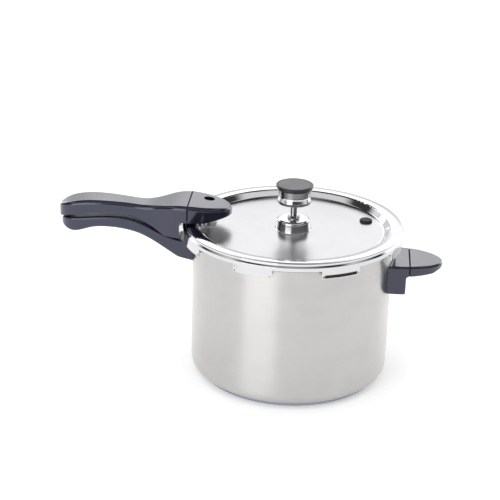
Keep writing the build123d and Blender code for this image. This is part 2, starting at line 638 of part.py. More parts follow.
with BuildPart() as body_handle:
    with BuildSketch(Plane.XZ.offset(-2 * BODY_HALF_WIDTH)):
        with BuildLine():
            top_edge = Spline(*[beyond(*point) for point in body_top])
            under_edge = Spline(*[beyond(*point) for point in body_under])
            Spline(
                top_edge @ 1,
                body_end,
                under_edge @ 0,
                tangents=(top_edge % 1, under_edge % 0),
            )
            Polyline(under_edge @ 1, body_root_low, body_root_high, top_edge @ 0)
        make_face()
    extrude(amount=4 * BODY_HALF_WIDTH)
    with BuildSketch(Plane.XY):
        add(
            plan_outline(
                0,
                -POT_RADIUS,
                BODY_HALF_WIDTH,
                [(beyond(NECK_END, 0)[0], BODY_HALF_WIDTH - BODY_WAIST)],
                beyond(GRIP_START, 0)[0],
                BODY_HALF_WIDTH,
                body_end[0],
            )
        )
    extrude(amount=crest, mode=Mode.INTERSECT)
    long_edges = edges().filter_by(lambda edge: edge.length > HANDLE_REACH / 2)
    fillet(long_edges, BODY_ROUND)
    with BuildSketch(Plane.XY):
        Circle(POT_RADIUS)
    extrude(amount=crest, mode=Mode.SUBTRACT)
    with BuildSketch(Plane.XY.offset(plate_bottom - FIT_CLEARANCE)):
        add(ring_sectors(pot_inner, plate_outer + FIT_CLEARANCE, [180], recess_width))
    extrude(amount=plate_top - plate_bottom + 2 * FIT_CLEARANCE, mode=Mode.SUBTRACT)
    with BuildSketch(Plane.XY.offset(tongue_bottom - FIT_CLEARANCE)):
        with Locations((-POT_RADIUS, 0)):
            Rectangle(2 * TONGUE_LENGTH + 2 * FIT_CLEARANCE, 2 * TONGUE_HALF_WIDTH + 2 * FIT_CLEARANCE)
    extrude(amount=BRACKET_SHEET + 2 * FIT_CLEARANCE, mode=Mode.SUBTRACT)
    with BuildSketch(Plane.XY.offset(body_seat)):
        with Locations((body_screw_x, 0)):
            Circle(SCREW_RADIUS + FIT_CLEARANCE)
    extrude(amount=tongue_bottom + screw_tip_rise + FIT_CLEARANCE - body_seat, mode=Mode.SUBTRACT)
    with BuildSketch(Plane.XY.offset(body_seat - BODY_ROOT_DROP)):
        with Locations((body_screw_x, 0)):
            Circle(counterbore_radius)
    extrude(amount=BODY_ROOT_DROP, mode=Mode.SUBTRACT)
save(body_handle.part, "body_handle")

with BuildPart() as body_handle_bracket:
    with BuildSketch(Plane.XY.offset(plate_bottom)):
        add(ring_sectors(POT_RADIUS, plate_outer, [180], plate_width))
    extrude(amount=plate_top - plate_bottom)
    with BuildSketch(Plane.XY.offset(tongue_bottom)):
        with Locations((-POT_RADIUS, 0)):
            Rectangle(2 * TONGUE_LENGTH, 2 * TONGUE_HALF_WIDTH)
        with Locations((body_screw_x, 0)):
            Circle(SCREW_RADIUS + FIT_CLEARANCE, mode=Mode.SUBTRACT)
        Circle(POT_RADIUS, mode=Mode.SUBTRACT)
    extrude(amount=BRACKET_SHEET)
save(body_handle_bracket.part, "body_handle_bracket")

body_handle_screw = screw(body_screw_x, 0, body_seat, tongue_bottom + screw_tip_rise)
save(body_handle_screw, "body_handle_screw")

# ---- cover handle ---------------------------------------------------------------------------
# A wide domed head lies over the cover, a leg steps down outside the skirt and the grip
# follows the lower handle.  The strap's slot, the lock pin's bore and the screws are cut in.
nose_x = -skirt_outer + HEAD_NOSE
head_underside = crown_top + HEAD_CLEARANCE
leg_face = -skirt_outer - RIM_CLEARANCE
grip_end_x = -skirt_outer - HANDLE_REACH
head_groove_x = -skirt_outer + HEAD_GROOVE
strap_bottom = crown_top + STRAP_CLEARANCE
strap_top = strap_bottom + STRAP_SHEET
handle_middle = crown_top + HANDLE_RISE / 2
strap_end_x = leg_face - STRAP_IN_LEG
strap_foot_top = panel_top + STRAP_SHEET
strap_foot_x = pin_x + STRAP_FOOT
strap_bend_x = STRAP_FOOT_INSET - panel_radius - STRAP_SHEET
cover_seat = strap_bottom - SCREW_GRIP
cover_screw_xs = [leg_face - STRAP_IN_LEG * share for share in STRAP_SCREWS]
handle_top = [(1.04, 14.0), (0.96, 21.6), (0.882, 25.1), (0.75, 27.6), (0.59, 27.4),
              (0.43, 25.8), (0.31, 24.5), (0.22, 25.6), (0.11, 28.4)]
handle_under = [(1.04, 4.5), (0.93, 9.2), (0.85, 12.4), (0.735, 14.0), (0.574, 15.2), (0.419, 13.4),
                (0.257, 3.4), (0.132, -6.0)]
with BuildPart() as cover_handle:
    with BuildSketch(Plane.XZ.offset(-2 * HEAD_HALF_WIDTH)):
        with BuildLine():
            back_edge = Spline(*[beyond(*point) for point in handle_top])
            front_edge = Spline(
                back_edge @ 1,
                (head_groove_x, crest),
                (nose_x - HEAD_NOSE / 2, crest - NOSE_FALL / 5),
                (nose_x + OUTLINE_SPARE, crest - NOSE_FALL),
                tangents=(back_edge % 1, (1, -0.5)),
            )
            lower_edge = Spline(*[beyond(*point) for point in handle_under])
            Line(back_edge @ 0, lower_edge @ 0)
            Polyline(
                lower_edge @ 1,
                (leg_face, (lower_edge @ 1).Y),
                (leg_face, head_underside),
                (leg_face + HEAD_NOSE / 2, head_underside),
                (nose_x + OUTLINE_SPARE, head_underside + NOSE_LIFT),
                front_edge @ 1,
            )
        make_face()
    extrude(amount=4 * HEAD_HALF_WIDTH)
    with BuildSketch(Plane.XY.offset(skirt_bottom - LEAF_DROP)):
        add(
            plan_outline(
                nose_x,
                head_groove_x,
                HEAD_HALF_WIDTH,
                [
                    (leg_face - STRAP_IN_LEG * HEAD_WAIST, HEAD_HALF_WIDTH * HEAD_SHARE),
                    (beyond(NECK_START, 0)[0], NECK_HALF_WIDTH + NECK_WIDEN),
                    (beyond(NECK_END, 0)[0], NECK_HALF_WIDTH),
                ],
                beyond(GRIP_START, 0)[0],
                GRIP_HALF_WIDTH,
                grip_end_x,
            )
        )
    extrude(amount=crest, mode=Mode.INTERSECT)
    curved_edges = edges().filter_by(GeomType.BSPLINE)
    fillet(curved_edges.filter_by(lambda edge: edge.center().Z > handle_middle), HEAD_ROUND)
    with BuildSketch(Plane.YZ.offset(head_groove_x - HANDLE_SEAM / 2)):
        with Locations((0, crest - HEAD_BODY / 2)):
            Rectangle(3 * HEAD_HALF_WIDTH, 2 * HEAD_BODY)
            RectangleRounded(
                2 * (HEAD_HALF_WIDTH - SEAM_DEPTH),
                HEAD_BODY + 2 * (HEAD_ROUND - SEAM_DEPTH),
                HEAD_ROUND,
                mode=Mode.SUBTRACT,
            )
    extrude(amount=HANDLE_SEAM, mode=Mode.SUBTRACT)
    with BuildSketch(Plane.XY.offset(strap_bottom - FIT_CLEARANCE)):
        with Locations((leg_face, 0)):
            Rectangle(2 * STRAP_IN_LEG + 2 * FIT_CLEARANCE, 2 * STRAP_HALF_WIDTH + 2 * FIT_CLEARANCE)
    extrude(amount=STRAP_SHEET + 2 * FIT_CLEARANCE, mode=Mode.SUBTRACT)
    for screw_x in cover_screw_xs:
        with BuildSketch(Plane.XY.offset(cover_seat)):
            with Locations((screw_x, 0)):
                Circle(SCREW_RADIUS + FIT_CLEARANCE)
        extrude(amount=SCREW_GRIP + screw_tip_rise + FIT_CLEARANCE, mode=Mode.SUBTRACT)
        with BuildSketch(Plane.XY.offset(cover_seat - BODY_ROOT_DROP)):
            with Locations((screw_x, 0)):
                Circle(counterbore_radius)
        extrude(amount=BODY_ROOT_DROP, mode=Mode.SUBTRACT)
    with BuildSketch(Plane.XY.offset(panel_top)):
        with Locations((pin_x, pin_y)):
            Circle(PIN_RADIUS + PIN_PASSAGE)
    extrude(amount=crest - panel_top, mode=Mode.SUBTRACT)
    with BuildSketch(Plane.XY.offset(pin_head_bottom - SEAL_CLEARANCE)):
        with Locations((pin_x, pin_y)):
            Circle(INDICATOR_RADIUS)
    extrude(amount=HANDLE_RISE, mode=Mode.SUBTRACT)
save(cover_handle.part, "cover_handle")

with BuildPart() as cover_bracket:
    with BuildSketch(Plane.XZ):
        rounded_face(
            (strap_foot_x, panel_top),
            (strap_bend_x, panel_top),
            (strap_bend_x - STRAP_RISE_RUN, strap_bottom),
            (strap_end_x, strap_bottom),
            (strap_end_x, strap_top),
            (strap_bend_x - STRAP_RISE_RUN + STRAP_SHEET * STRAP_LEAN, strap_top),
            (strap_bend_x + STRAP_SHEET * STRAP_LEAN, strap_foot_top),
            (strap_foot_x, strap_foot_top),
        )
    extrude(amount=STRAP_HALF_WIDTH, both=True)
    with BuildSketch(Plane.XY.offset(panel_top)):
        with Locations((pin_x, pin_y)):
            Circle(BUSH_FLANGE_RADIUS + SEAL_CLEARANCE)
        with Locations(*[(screw_x, 0) for screw_x in cover_screw_xs]):
            Circle(SCREW_RADIUS + FIT_CLEARANCE)
    extrude(amount=HANDLE_RISE, mode=Mode.SUBTRACT)
save(cover_bracket.part, "cover_bracket")

cover_screws = [
    screw(screw_x, 0, cover_seat, strap_bottom + screw_tip_rise) for screw_x in cover_screw_xs
]
save(Compound(children=cover_screws), "cover_handle_screws")

# ---- helper handle and its bracket ----------------------------------------------------------
helper_top = RIM_HEIGHT - HELPER_TOP
helper_tip_x = POT_RADIUS + HELPER_REACH
block_face = POT_RADIUS + HELPER_BLOCK
block_bottom = helper_top - HELPER_BLOCK_DROP
slab_bottom = helper_top - HELPER_SLAB
ellipse_centre = helper_tip_x - HELPER_ELLIPSE
helper_groove_x = POT_RADIUS + HELPER_GROOVE
groove_share = (helper_groove_x - ellipse_centre) / HELPER_ELLIPSE
groove_half_width = HELPER_HALF_WIDTH * sqrt(1 - groove_share**2)
helper_tongue = helper_top - HELPER_TONGUE_DROP
helper_seat = helper_tongue - SCREW_GRIP
helper_screw_x = POT_RADIUS + HELPER_BLOCK / 2
helper_plate_bottom = block_bottom + 2 * PLATE_MARGIN
helper_plate_top = helper_top - 2 * PLATE_MARGIN
with BuildPart() as helper_handle:
    with BuildSketch(Plane.XZ.offset(-2 * HELPER_HALF_WIDTH)):
        rounded_face(
            (POT_RADIUS - HELPER_BLOCK, helper_top),
            (POT_RADIUS - HELPER_BLOCK, block_bottom),
            (block_face, block_bottom, BLOCK_EDGE_ROUND),
            (block_face, slab_bottom, SLAB_ROOT_ROUND),
            (helper_tip_x - HELPER_SLAB, slab_bottom + SLAB_TIP_RISE, SLAB_TIP_ROUND),
            (helper_tip_x + OUTLINE_SPARE, helper_top - HELPER_SLAB / 3),
            (helper_tip_x + OUTLINE_SPARE, helper_top - SLAB_TIP_RISE),
            (helper_tip_x - HELPER_REACH / 2, helper_top, SLAB_CROWN_ROUND),
        )
    extrude(amount=4 * HELPER_HALF_WIDTH)
    with BuildSketch(Plane.XY):
        with Locations((ellipse_centre, 0)):
            Ellipse(HELPER_ELLIPSE, HELPER_HALF_WIDTH)
    extrude(amount=crest, mode=Mode.INTERSECT)
    with BuildSketch(Plane.XY):
        Circle(POT_RADIUS)
    extrude(amount=crest, mode=Mode.SUBTRACT)
    top_edges = edges().filter_by(lambda edge: edge.center().Z > helper_top - HELPER_ROUND)
    fillet(top_edges.filter_by(lambda edge: edge.length > HELPER_REACH / 2), HELPER_ROUND)
    with BuildSketch(Plane.XY.offset(helper_plate_bottom - FIT_CLEARANCE)):
        add(ring_sectors(pot_inner, plate_outer + FIT_CLEARANCE, [0], recess_width))
    extrude(amount=helper_plate_top - helper_plate_bottom + 2 * FIT_CLEARANCE, mode=Mode.SUBTRACT)
    with BuildSketch(Plane.XY.offset(helper_tongue - FIT_CLEARANCE)):
        with Locations((POT_RADIUS, 0)):
            Rectangle(2 * HELPER_TONGUE + 2 * FIT_CLEARANCE, 2 * TONGUE_HALF_WIDTH + 2 * FIT_CLEARANCE)
    extrude(amount=BRACKET_SHEET + 2 * FIT_CLEARANCE, mode=Mode.SUBTRACT)
    with BuildSketch(Plane.XY.offset(helper_seat)):
        with Locations((helper_screw_x, 0)):
            Circle(SCREW_RADIUS + FIT_CLEARANCE)
    extrude(amount=SCREW_GRIP + screw_tip_rise + FIT_CLEARANCE, mode=Mode.SUBTRACT)
    with BuildSketch(Plane.XY.offset(helper_seat - HELPER_BLOCK_DROP)):
        with Locations((helper_screw_x, 0)):
            Circle(counterbore_radius)
    extrude(amount=HELPER_BLOCK_DROP, mode=Mode.SUBTRACT)
    with BuildSketch(Plane.YZ.offset(helper_groove_x - HANDLE_SEAM / 2)):
        with Locations((0, helper_top)):
            Rectangle(4 * HELPER_HALF_WIDTH, 4 * HELPER_BLOCK_DROP)
            Rectangle(
                2 * (groove_half_width - SEAM_DEPTH), 4 * HELPER_BLOCK_DROP, mode=Mode.SUBTRACT
            )
        with Locations((0, helper_top + HELPER_SLAB / 2)):
            Rectangle(4 * HELPER_HALF_WIDTH, HELPER_SLAB + 2 * SEAM_DEPTH)
    extrude(amount=HANDLE_SEAM, mode=Mode.SUBTRACT)
save(helper_handle.part, "helper_handle")

with BuildPart() as helper_bracket:
    with BuildSketch(Plane.XY.offset(helper_plate_bottom)):
        add(ring_sectors(POT_RADIUS, plate_outer, [0], plate_width))
    extrude(amount=helper_plate_top - helper_plate_bottom)
    with BuildSketch(Plane.XY.offset(helper_tongue)):
        with Locations((POT_RADIUS, 0)):
            Rectangle(2 * HELPER_TONGUE, 2 * TONGUE_HALF_WIDTH)
        with Locations((helper_screw_x, 0)):
            Circle(SCREW_RADIUS + FIT_CLEARANCE, mode=Mode.SUBTRACT)
        Circle(POT_RADIUS, mode=Mode.SUBTRACT)
    extrude(amount=BRACKET_SHEET)
save(helper_bracket.part, "helper_bracket")

helper_screw = screw(helper_screw_x, 0, helper_seat, helper_tongue + screw_tip_rise)
save(helper_screw, "helper_screw")

# ---- cooking rack and its wire feet ---------------------------------------------------------
rack_radius = pot_inner - RACK_CLEARANCE
foot_bottom = floor_top + SEAL_CLEARANCE
rack_underside = floor_top + RACK_HEIGHT
rack_top = rack_underside + RACK_SHEET
with BuildPart() as cooking_rack:
    with BuildSketch(Plane.XZ):
        rounded_face(
            (0, rack_underside),
            (rack_radius - RACK_SHEET, rack_underside, RACK_SHEET / 2),
            (rack_radius - RACK_SHEET, rack_top - RACK_RIM_DROP),
            (rack_radius, rack_top - RACK_RIM_DROP),
            (rack_radius, rack_top, RACK_SHEET),
            (0, rack_top),
        )
    revolve(axis=Axis.Z)
    with BuildSketch(Plane.XY.offset(rack_underside)):
        Circle(RACK_HOLE_RADIUS)
        for ring_share, hole_count in RACK_RINGS:
            with PolarLocations(rack_radius * ring_share, hole_count):
                Circle(RACK_HOLE_RADIUS)
    extrude(amount=RACK_SHEET, mode=Mode.SUBTRACT)
save(cooking_rack.part, "cooking_rack")

foot_axis_top = rack_underside - FOOT_RADIUS
foot_axis_bottom = foot_bottom + FOOT_RADIUS
foot_parts = []
for index in range(FOOT_COUNT):
    foot_turn = (0, 0, index * 360 / FOOT_COUNT)
    foot_frame = Plane.XZ.rotated(foot_turn).offset(rack_radius * FOOT_CIRCLE)
    with BuildPart() as foot:
        with BuildLine(foot_frame):
            bent_wire = FilletPolyline(
                (-FOOT_LENGTH, foot_axis_top),
                (-FOOT_LENGTH / 2, foot_axis_top),
                (-FOOT_LENGTH / 2, foot_axis_bottom),
                (FOOT_LENGTH / 2, foot_axis_bottom),
                (FOOT_LENGTH / 2, foot_axis_top),
                (FOOT_LENGTH, foot_axis_top),
                radius=FOOT_BEND,
            )
        with BuildSketch(bent_wire ^ 0):
            Circle(FOOT_RADIUS)
        sweep()
    foot_parts.append(foot.part)
save(Compound(children=foot_parts), "rack_feet")
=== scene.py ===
"""Looks of a stovetop pressure canner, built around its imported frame: a polished vessel with a
lug-lock cover, moulded handles, a weighted regulator on a vent pipe, a safety plug and a rack."""

from math import cos, pi, radians, sin

import bpy
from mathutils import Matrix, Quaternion, Vector


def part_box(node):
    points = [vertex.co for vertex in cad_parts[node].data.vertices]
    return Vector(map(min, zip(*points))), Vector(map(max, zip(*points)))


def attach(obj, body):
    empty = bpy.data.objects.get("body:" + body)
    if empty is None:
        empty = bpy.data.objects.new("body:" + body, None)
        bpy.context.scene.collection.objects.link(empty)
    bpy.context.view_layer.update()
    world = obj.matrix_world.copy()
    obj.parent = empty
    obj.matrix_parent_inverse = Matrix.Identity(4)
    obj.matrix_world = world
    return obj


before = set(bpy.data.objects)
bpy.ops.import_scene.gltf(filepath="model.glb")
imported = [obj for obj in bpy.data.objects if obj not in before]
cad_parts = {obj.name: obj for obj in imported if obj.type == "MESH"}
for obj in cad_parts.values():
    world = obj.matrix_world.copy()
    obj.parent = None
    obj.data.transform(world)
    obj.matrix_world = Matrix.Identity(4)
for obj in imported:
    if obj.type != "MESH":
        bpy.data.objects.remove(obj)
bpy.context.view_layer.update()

# ---- base -----------------------------------------------------------------------------------
# A thick aluminium disc spreads the heat.  It is pressed on under the vessel, and a thin
# stainless cap is drawn over it and lapped, so only the cap shows.  Its colour is darker and
# bluer than the vessel's steel: painted shade for the shadow at the vessel's foot.


class Signal:
    """A node's output socket.  Arithmetic on it adds Math nodes to its graph."""

    def __init__(self, graph, socket):
        self.graph = graph
        self.socket = socket

    def maths(self, operation, other=0.0, swapped=False):
        first, second = (other, self) if swapped else (self, other)
        return self.graph.node("ShaderNodeMath", {"operation": operation}, {0: first, 1: second})

    def __add__(self, other):
        return self.maths("ADD", other)

    def __sub__(self, other):
        return self.maths("SUBTRACT", other)

    def __rsub__(self, other):
        return self.maths("SUBTRACT", other, swapped=True)

    def __mul__(self, other):
        return self.maths("MULTIPLY", other)

    def __truediv__(self, other):
        return self.maths("DIVIDE", other)

    def __pow__(self, other):
        return self.maths("POWER", other)

    def __gt__(self, other):
        return self.maths("GREATER_THAN", other)

    def __lt__(self, other):
        return self.maths("LESS_THAN", other)

    __radd__ = __add__
    __rmul__ = __mul__


class Graph:
    """A node tree that is being filled."""

    def __init__(self, tree):
        self.tree = tree
        tree.nodes.clear()

    def node(self, kind, settings, sockets, output=0):
        """Add one node: its settings, then the values or links of its sockets."""
        made = self.tree.nodes.new(kind)
        for name, value in settings.items():
            if name == "stops":
                elements = made.color_ramp.elements
                while len(elements) < len(value):
                    elements.new(1.0)
                for element, (position, shade) in zip(elements, value):
                    element.position = position
                    element.color = (shade, shade, shade, 1.0)
            else:
                setattr(made, name, value)
        for name, value in sockets.items():
            if isinstance(value, Signal):
                self.tree.links.new(value.socket, made.inputs[name])
            else:
                made.inputs[name].default_value = value
        return Signal(self, made.outputs[output]) if made.outputs else None

    def vector(self, x, y, z):
        return self.node("ShaderNodeCombineXYZ", {}, {0: x, 1: y, 2: z})

    def parts(self, vector):
        """The three coordinates of a vector."""
        first = self.node("ShaderNodeSeparateXYZ", {}, {0: vector})
        outputs = first.socket.node.outputs
        return [Signal(self, outputs[axis]) for axis in range(3)]

    def noise(self, vector, scale, detail=3.0, roughness=0.5):
        sockets = {"Vector": vector, "Scale": scale, "Detail": detail, "Roughness": roughness}
        return self.node("ShaderNodeTexNoise", {}, sockets)

    def ramp(self, value, *stops):
        return self.node("ShaderNodeValToRGB", {"stops": stops}, {0: value})

    def blend(self, share, first, second):
        """Colour from first to second."""
        return self.node(
            "ShaderNodeMix", {"data_type": "RGBA"}, {0: share, 6: first, 7: second}, output=2
        )


def tint(red, green, blue):
    return (red, green, blue, 1.0)


def finished(name, build, **constants):
    """A material.  build(graph) returns its varying sockets; constants go on its shader."""
    material = bpy.data.materials.new(name)
    material.use_nodes = True
    graph = Graph(material.node_tree)
    sockets = build(graph)
    sockets.update({key.replace("_", " "): value for key, value in constants.items()})
    shader = graph.node("ShaderNodeBsdfPrincipled", {}, sockets)
    graph.node("ShaderNodeOutputMaterial", {}, {"Surface": shader})
    return material


def bumped(graph, height, depth):
    """Normal from a height of 0 to 1 that stands for depth metres."""
    return graph.node("ShaderNodeBump", {}, {"Height": height, "Distance": depth, "Strength": 1.0})


RING_WOBBLE = 0.7
BROAD_PITCHES = 14.0
SMEAR_SCALE = 38.0
SPECK_SCALE = 1100.0
SPECK_DULL = 0.05
SPECK_HEIGHT = 0.15


def spun(light, dark, polish, dull, pitch, depth, axis=(0.0, 0.0), satin=None):
    """Metal with rings of fine marks round an upright axis, and a few wiping smears.

    satin is a band of duller finish: inner radius, outer radius, added roughness.
    """

    def build(graph):
        place = graph.node("ShaderNodeTexCoord", {}, {}, "Object")
        centred = graph.node(
            "ShaderNodeMapping", {}, {"Vector": place, "Location": (-axis[0], -axis[1], 0.0)}
        )
        x, y, z = graph.parts(centred)
        radius = (x * x + y * y) ** 0.5
        along = (radius + z) / pitch
        across = graph.vector(x / radius * RING_WOBBLE, y / radius * RING_WOBBLE, along)
        rings = graph.noise(across, 1.0, detail=4.0, roughness=0.6)
        wide = graph.vector(x / radius, y / radius, along / BROAD_PITCHES)
        broad = graph.noise(wide, 1.0, detail=2.0)
        wiped = graph.noise(centred, SMEAR_SCALE, detail=4.0, roughness=0.62)
        smears = graph.ramp(wiped, (0.42, 0.0), (0.72, 1.0))
        specks = graph.ramp(graph.noise(centred, SPECK_SCALE, detail=2.0), (0.66, 0.0), (0.74, 1.0))
        mark = rings * 0.55 + broad * 0.25 + smears * 0.2
        roughness = mark * (dull - polish) + specks * SPECK_DULL + polish
        if satin:
            inner, outer, added = satin
            roughness = roughness + (radius > inner) * (radius < outer) * added
        return {
            "Base Color": graph.blend(mark, tint(*light), tint(*dark)),
            "Roughness": roughness,
            "Normal": bumped(graph, rings + specks * SPECK_HEIGHT, depth),
        }

    return build


def dress(material, *nodes):
    """Give whole nodes one material."""
    for name in nodes:
        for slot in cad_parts[name].material_slots:
            slot.material = material


# The base cap's colours are darker and bluer than the vessel's: painted shade for the shadowed band
# at the vessel's foot.
CAP_LIGHT = (0.42, 0.45, 0.54)
CAP_DARK = (0.32, 0.35, 0.44)
CORE_LIGHT = (0.72, 0.73, 0.74)
CORE_DARK = (0.60, 0.61, 0.63)
shaded_cap_steel = finished(
    "shaded_cap_steel",
    spun(CAP_LIGHT, CAP_DARK, polish=0.16, dull=0.34, pitch=0.0009, depth=0.000012),
    Metallic=1.0,
)
core_aluminium = finished(
    "core_aluminium",
    spun(CORE_LIGHT, CORE_DARK, polish=0.35, dull=0.55, pitch=0.0012, depth=0.00003),
    Metallic=1.0,
)
dress(shaded_cap_steel, "base_cap")
dress(core_aluminium, "base_core")

# ---- vessel ---------------------------------------------------------------------------------
# Deep-drawn stainless sheet.  The wall is polished on a lathe, which leaves fine marks round
# it that draw every highlight out upright.
VESSEL_LIGHT = (0.600, 0.592, 0.582)
VESSEL_DARK = (0.500, 0.492, 0.482)
vessel_steel = finished(
    "vessel_steel",
    spun(VESSEL_LIGHT, VESSEL_DARK, polish=0.26, dull=0.34, pitch=0.0007, depth=0.000006),
    Metallic=1.0,
    Anisotropic=0.9,
    Anisotropic_Rotation=0.25,
)
dress(vessel_steel, "pot_body")

# ---- brackets and their spot welds ----------------------------------------------------------
# Pressed from plain cold-rolled stainless sheet.  Each plate is held to the wall by a block of
# spot welds, which show inside the vessel as low round buttons.


STAIN_SCALE = 60.0
MARK_DEPTH = 1.0 / 40.0        # in grains


def rolled(light, dark, polish, dull, grain, along=(1.0, 1.0, 1.0)):
    """Sheet metal with short rolling marks along one direction and a few stains."""

    def build(graph):
        place = graph.node("ShaderNodeTexCoord", {}, {}, "Object")
        drawn = graph.node("ShaderNodeMapping", {}, {"Vector": place, "Scale": along})
        marks = graph.noise(drawn, 1.0 / grain, detail=4.0, roughness=0.65)
        stains = graph.ramp(graph.noise(place, STAIN_SCALE), (0.45, 0.0), (0.75, 1.0))
        mark = marks * 0.7 + stains * 0.3
        return {
            "Base Color": graph.blend(mark, tint(*light), tint(*dark)),
            "Roughness": mark * (dull - polish) + polish,
            "Normal": bumped(graph, marks, grain * MARK_DEPTH),
        }

    return build


BRACKET_LIGHT = (0.58, 0.58, 0.59)
BRACKET_DARK = (0.42, 0.42, 0.43)
bracket_steel = finished(
    "bracket_steel",
    rolled(
        BRACKET_LIGHT, BRACKET_DARK, polish=0.26, dull=0.46, grain=0.0012, along=(0.15, 1.0, 1.0)
    ),
    Metallic=1.0,
)
dress(bracket_steel, "body_handle_bracket", "helper_bracket", "locking_bracket")

WELD_RADIUS = 0.0024
WELD_BULGE = 0.00018
WELD_COLUMNS = 2
WELD_ROWS = 3
WELD_SPACING = 0.006
WELD_SEGMENTS = 20
WELD_RINGS = 10
WALL_SHEET = 0.001
CAP_INSET = 0.010              # base cap, inside the wall
LOCK_ANGLE = radians(174.5)


def grown(tree, name, body, material, **sizes):
    """Run a Geometry Nodes tree with these sizes and keep its result as a plain mesh."""
    holder = bpy.data.objects.new(name, bpy.data.meshes.new(name + "_seed"))
    bpy.context.scene.collection.objects.link(holder)
    modifier = holder.modifiers.new("grow", "NODES")
    modifier.node_group = tree
    for item in tree.interface.items_tree:
        if item.item_type == "SOCKET" and item.in_out == "INPUT":
            value = material if item.socket_type == "NodeSocketMaterial" else sizes[item.name]
            modifier[item.identifier] = value
    shown = holder.evaluated_get(bpy.context.evaluated_depsgraph_get())
    mesh = bpy.data.meshes.new_from_object(shown)
    mesh.name = name
    holder.modifiers.clear()
    holder.data = mesh
    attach(holder, body)
    return holder


def growth(name, **inputs):
    """An empty Geometry Nodes tree with named inputs: (graph, {input name: signal})."""
    tree = bpy.data.node_groups.new(name, "GeometryNodeTree")
    tree.interface.new_socket("Geometry", in_out="OUTPUT", socket_type="NodeSocketGeometry")
    for label, kind in inputs.items():
        tree.interface.new_socket(label, in_out="INPUT", socket_type="NodeSocket" + kind)
    graph = Graph(tree)
    source = tree.nodes.new("NodeGroupInput")
    return graph, {label: Signal(graph, source.outputs[label]) for label in inputs}


def harvested(graph, geometry, material):
    """Close a tree: real meshes, one material, out."""
    real = graph.node("GeometryNodeRealizeInstances", {}, {0: geometry})
    coated = graph.node("GeometryNodeSetMaterial", {}, {"Geometry": real, "Material": material})
    graph.node("NodeGroupOutput", {}, {0: coated})
    return graph.tree


def weld_block():
    """Rows and columns of buttons on the inside of a round wall, about one angle and level."""
    graph, size = growth(
        "weld_block",
        Angle="Float", Level="Float", Wall="Float", Spacing="Float", Radius="Float",
        Bulge="Float", Columns="Int", Rows="Int", Coat="Material",
    )
    grid = graph.node(
        "GeometryNodeMeshGrid",
        {},
        {
            "Size X": (size["Columns"] - 1) * size["Spacing"],
            "Size Y": (size["Rows"] - 1) * size["Spacing"],
            "Vertices X": size["Columns"],
            "Vertices Y": size["Rows"],
        },
    )
    across, up, _ = graph.parts(graph.node("GeometryNodeInputPosition", {}, {}))
    turn = across / size["Wall"] + size["Angle"]
    east, north = turn.maths("COSINE"), turn.maths("SINE")
    outward = graph.vector(east, north, 0.0)
    ring = graph.vector(east * size["Wall"], north * size["Wall"], up + size["Level"])
    placed = graph.node("GeometryNodeSetPosition", {}, {"Geometry": grid, "Position": ring})
    ball = graph.node(
        "GeometryNodeMeshUVSphere",
        {},
        {"Segments": WELD_SEGMENTS, "Rings": WELD_RINGS, "Radius": 1.0},
    )
    button = graph.node(
        "GeometryNodeTransform",
        {},
        {
            "Geometry": ball,
            "Scale": graph.vector(size["Radius"], size["Radius"], size["Bulge"]),
        },
    )
    facing = graph.node(
        "FunctionNodeAlignRotationToVector", {"axis": "Z"}, {"Vector": outward}
    )
    block = graph.node(
        "GeometryNodeInstanceOnPoints",
        {},
        {"Points": placed, "Instance": button, "Rotation": facing},
    )
    return harvested(graph, block, size["Coat"])


WELD_LIGHT = (0.52, 0.51, 0.50)
WELD_DARK = (0.34, 0.33, 0.33)
weld_steel = finished(
    "weld_steel",
    rolled(WELD_LIGHT, WELD_DARK, polish=0.3, dull=0.5, grain=0.0006),
    Metallic=1.0,
)
weld_tree = weld_block()
wall_inside = -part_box("base_cap")[0].x + CAP_INSET - WALL_SHEET
for weld_name, bracket_name, weld_angle in (
    ("handle_welds", "body_handle_bracket", pi),
    ("helper_welds", "helper_bracket", 0.0),
    ("lock_welds", "locking_bracket", LOCK_ANGLE),
):
    lowest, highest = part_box(bracket_name)
    grown(
        weld_tree, weld_name, "pot", weld_steel,
        Angle=weld_angle, Level=(lowest.z + highest.z) / 2, Wall=wall_inside,
        Spacing=WELD_SPACING, Radius=WELD_RADIUS, Bulge=WELD_BULGE,
        Columns=WELD_COLUMNS, Rows=WELD_ROWS,
    )

# ---- lower handle and helper handle ---------------------------------------------------------
# Compression-moulded black phenolic, semi-gloss as it leaves the mould, with a faint flow
# mottle.  One pan-head screw from below holds each to the tongue of its bracket.


FLOW_SCALE = 55.0
GRAIN_SCALE = 2600.0
GRAIN_DULL = 0.06
GRAIN_HEIGHT = 0.1
RUBBED_SCALE = 24.0
SEAM_HALF_WIDTH = 0.0010
SEAM_DULL = 0.6
HANDLE_COAT = 0.9


